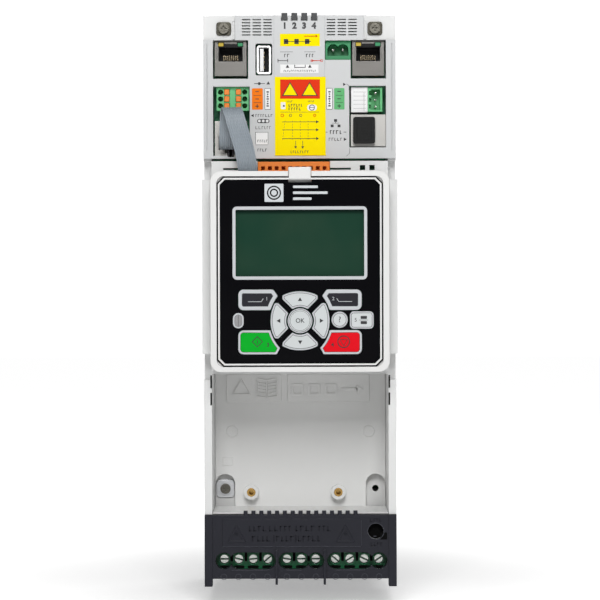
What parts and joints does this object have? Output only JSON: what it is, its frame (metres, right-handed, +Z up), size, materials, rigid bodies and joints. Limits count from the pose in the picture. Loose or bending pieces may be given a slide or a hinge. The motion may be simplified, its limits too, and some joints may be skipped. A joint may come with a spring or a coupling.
{
  "type": "servo drive",
  "caption": "Tall narrow servo drive: connector plate above, clip-on keypad in the middle, open option bay and black power-terminal base below, heatsink and fan behind.",
  "frame": {"origin": "centre of the rear mounting face, midway between the four mounting holes", "axes": "+Z up along the tall side, the front with keypad and ports faces -Y, +X to the right seen from the front; +Y points into the wall"},
  "size_m": [0.0998, 0.1723, 0.316],
  "materials": {
    "zinc_sheet": "zinc-plated sheet, fine spangle",
    "extruded_aluminium": "bare extrusion with drawn lines",
    "fan_plastic": "fine textured black",
    "guard_wire": "bright nickel wire",
    "housing_plastic": "fine spark-eroded off-white",
    "faceplate_plastic": "satin light grey",
    "base_plastic": "satin blue-black",
    "board_laminate": "green solder mask",
    "capacitor_sleeve": "shrink sleeve",
    "module_case": "moulded epoxy",
    "choke_winding": "enamelled winding",
    "brass_hex": "turned brass",
    "jack_shield": "tin-plated sheet",
    "dust_plug_rubber": "soft black",
    "tongue_plastic": "white insulator",
    "terminal_green": "satin green polyamide",
    "terminal_dark_green": "satin dark green polyamide",
    "terminal_orange": "satin orange polyamide",
    "plated_pin": "bright tin plate",
    "light_pipe": "smoked clear",
    "ribbon_jacket": "soft grey PVC with ridges",
    "plug_plastic": "dark grey",
    "keypad_shell": "satin off-white",
    "panel_gloss": "gloss black overlay",
    "display_glass": "dark green display",
    "key_grey": "silver grey keys",
    "key_black": "black keys with silver rim",
    "key_green": "green run key",
    "key_red": "red stop key"
  },
  "bodies": {
    "root": {"chassis_tray": "zinc_sheet", "heatsink": "extruded_aluminium", "fan_frame": "fan_plastic", "fan_guard": "guard_wire", "main_housing": "housing_plastic", "keypad_carrier": "housing_plastic", "option_bay_floor": "housing_plastic", "connector_faceplate": "faceplate_plastic", "terminal_base": "base_plastic", "control_board": "board_laminate", "power_board": "board_laminate", "dc_link_capacitors": "capacitor_sleeve", "power_module": "module_case", "line_choke": "choke_winding", "board_standoffs": "brass_hex", "brass_inserts": "brass_hex", "rj45_left": "jack_shield", "rj45_right": "jack_shield", "rj45_keypad_port": "jack_shield", "rj45_lan": "jack_shield", "usb_shell": "jack_shield", "earth_tabs": "jack_shield", "usb_tongue": "tongue_plastic", "marker_block": "tongue_plastic", "spring_terminal": "terminal_green", "header_3pin": "terminal_green", "header_2pin": "terminal_dark_green", "power_terminal_blocks": "terminal_dark_green", "strip_terminal": "terminal_orange", "header_pins": "plated_pin", "earth_screws": "plated_pin", "power_clamp_screws": "plated_pin", "led_light_pipes": "light_pipe", "keypad_ribbon": "ribbon_jacket", "ribbon_plug": "plug_plastic"},
    "fan_rotor": {"fan_rotor": "fan_plastic"},
    "keypad": {"keypad_body": "keypad_shell", "keypad_panel": "panel_gloss", "keypad_board": "board_laminate", "lcd_display": "display_glass"},
    "keypad_latch": {"keypad_latch": "keypad_shell"},
    "dust_plug": {"dust_plug": "dust_plug_rubber"},
    "key_ok": {"key_ok": "key_grey"},
    "key_up": {"key_up": "key_grey"},
    "key_down": {"key_down": "key_grey"},
    "key_left": {"key_left": "key_grey"},
    "key_right": {"key_right": "key_grey"},
    "key_soft_left": {"key_soft_left": "key_black"},
    "key_soft_right": {"key_soft_right": "key_black"},
    "key_help": {"key_help": "key_grey"},
    "key_mode": {"key_mode": "key_grey"},
    "key_start": {"key_start": "key_green"},
    "key_stop": {"key_stop": "key_red"},
    "release_lever_1": {"release_lever_1": "terminal_orange"},
    "release_lever_2": {"release_lever_2": "terminal_orange"},
    "release_lever_3": {"release_lever_3": "terminal_orange"},
    "release_lever_4": {"release_lever_4": "terminal_orange"},
    "release_lever_5": {"release_lever_5": "terminal_orange"},
    "release_lever_6": {"release_lever_6": "terminal_orange"}
  },
  "joints": [
    {"name": "fan_spin", "type": "hinge", "parent": "root", "child": "fan_rotor", "pos_m": [0, -0.028, -0.132], "axis": [0, 0, 1], "continuous": true},
    {"name": "keypad_pull", "type": "slide", "parent": "root", "child": "keypad", "axis": [0, -1, 0], "range_m": [0, 0.012], "deforming": ["keypad_ribbon"]},
    {"name": "latch_press", "type": "slide", "parent": "keypad", "child": "keypad_latch", "axis": [0, 0, -1], "range_m": [0, 0.0012], "stiffness_N_per_m": 1500},
    {"name": "dust_plug_pull", "type": "slide", "parent": "root", "child": "dust_plug", "axis": [0, -1, 0], "range_m": [0, 0.012]},
    {"name": "key_ok_press", "type": "slide", "parent": "keypad", "child": "key_ok", "axis": [0, 1, 0], "range_m": [0, 0.0008], "stiffness_N_per_m": 400},
    {"name": "key_up_press", "type": "slide", "parent": "keypad", "child": "key_up", "axis": [0, 1, 0], "range_m": [0, 0.0008], "stiffness_N_per_m": 400},
    {"name": "key_down_press", "type": "slide", "parent": "keypad", "child": "key_down", "axis": [0, 1, 0], "range_m": [0, 0.0008], "stiffness_N_per_m": 400},
    {"name": "key_left_press", "type": "slide", "parent": "keypad", "child": "key_left", "axis": [0, 1, 0], "range_m": [0, 0.0008], "stiffness_N_per_m": 400},
    {"name": "key_right_press", "type": "slide", "parent": "keypad", "child": "key_right", "axis": [0, 1, 0], "range_m": [0, 0.0008], "stiffness_N_per_m": 400},
    {"name": "key_soft_left_press", "type": "slide", "parent": "keypad", "child": "key_soft_left", "axis": [0, 1, 0], "range_m": [0, 0.0008], "stiffness_N_per_m": 400},
    {"name": "key_soft_right_press", "type": "slide", "parent": "keypad", "child": "key_soft_right", "axis": [0, 1, 0], "range_m": [0, 0.0008], "stiffness_N_per_m": 400},
    {"name": "key_help_press", "type": "slide", "parent": "keypad", "child": "key_help", "axis": [0, 1, 0], "range_m": [0, 0.0008], "stiffness_N_per_m": 400},
    {"name": "key_mode_press", "type": "slide", "parent": "keypad", "child": "key_mode", "axis": [0, 1, 0], "range_m": [0, 0.0008], "stiffness_N_per_m": 400},
    {"name": "key_start_press", "type": "slide", "parent": "keypad", "child": "key_start", "axis": [0, 1, 0], "range_m": [0, 0.0008], "stiffness_N_per_m": 400},
    {"name": "key_stop_press", "type": "slide", "parent": "keypad", "child": "key_stop", "axis": [0, 1, 0], "range_m": [0, 0.0008], "stiffness_N_per_m": 400},
    {"name": "release_lever_1_press", "type": "slide", "parent": "root", "child": "release_lever_1", "axis": [0, 1, 0], "range_m": [0, 0.001], "stiffness_N_per_m": 400},
    {"name": "release_lever_2_press", "type": "slide", "parent": "root", "child": "release_lever_2", "axis": [0, 1, 0], "range_m": [0, 0.001], "stiffness_N_per_m": 400},
    {"name": "release_lever_3_press", "type": "slide", "parent": "root", "child": "release_lever_3", "axis": [0, 1, 0], "range_m": [0, 0.001], "stiffness_N_per_m": 400},
    {"name": "release_lever_4_press", "type": "slide", "parent": "root", "child": "release_lever_4", "axis": [0, 1, 0], "range_m": [0, 0.001], "stiffness_N_per_m": 400},
    {"name": "release_lever_5_press", "type": "slide", "parent": "root", "child": "release_lever_5", "axis": [0, 1, 0], "range_m": [0, 0.001], "stiffness_N_per_m": 400},
    {"name": "release_lever_6_press", "type": "slide", "parent": "root", "child": "release_lever_6", "axis": [0, 1, 0], "range_m": [0, 0.001], "stiffness_N_per_m": 400}
  ]
}
